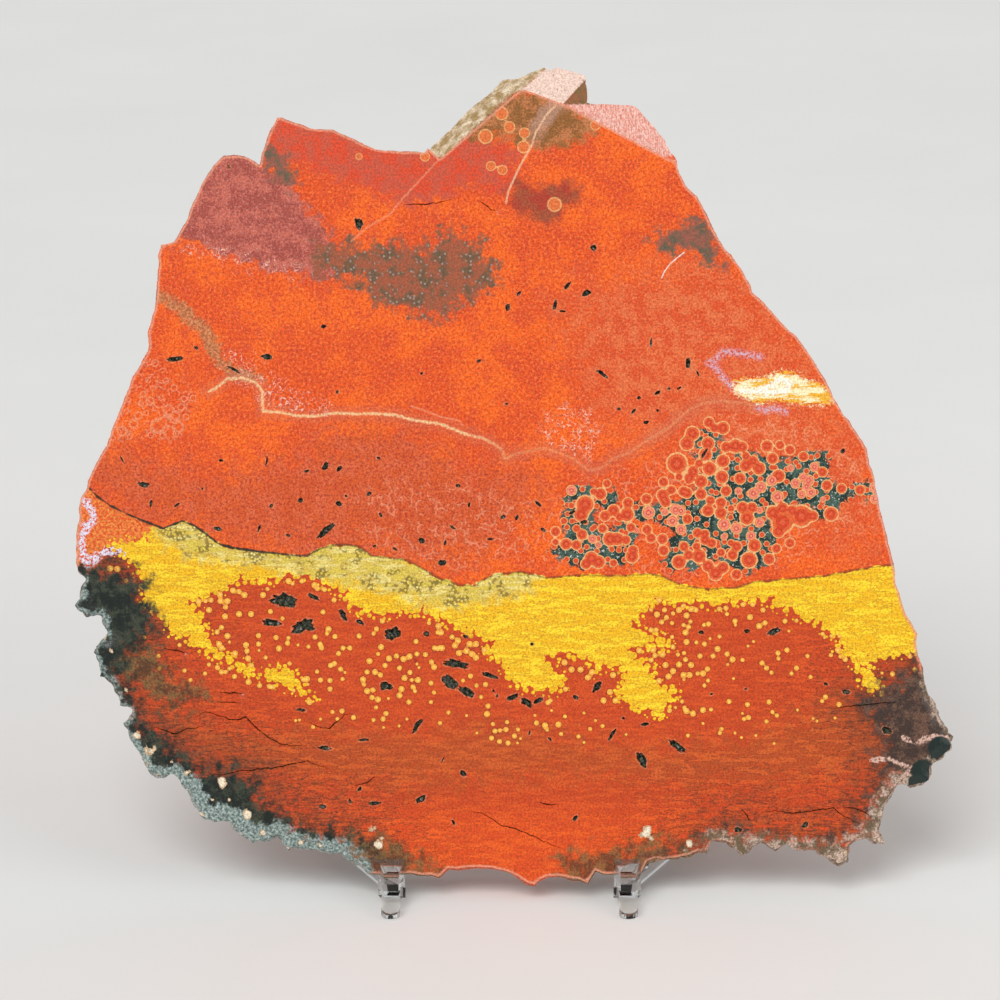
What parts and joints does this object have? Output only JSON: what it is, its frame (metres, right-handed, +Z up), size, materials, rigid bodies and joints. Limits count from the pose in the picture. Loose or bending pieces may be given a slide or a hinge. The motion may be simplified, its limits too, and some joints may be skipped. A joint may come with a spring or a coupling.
{
  "type": "polished jasper slab on easel",
  "caption": "Polished slab of orbicular jasper with a yellow band, round orbs, vugs and a lumpy chalcedony rind, leaning back in a small clear easel.",
  "frame": {"origin": "centre of the footprint's bounding box, on the surface that the easel stands on", "axes": "+Z up, the slab's polished face looks along -Y and leans back by 17 degrees, +X to the viewer's right"},
  "size_m": [0.1767, 0.0639, 0.1588],
  "materials": {
    "jasper": "polished red-orange orbicular jasper with a yellow band and a dark green rind",
    "clear_plastic": "clear moulded plastic, glossy"
  },
  "bodies": {
    "root": {"jasper_slab": "jasper", "stand_leg_left": "clear_plastic", "stand_leg_right": "clear_plastic", "stand_rod": "clear_plastic"}
  },
  "joints": []
}
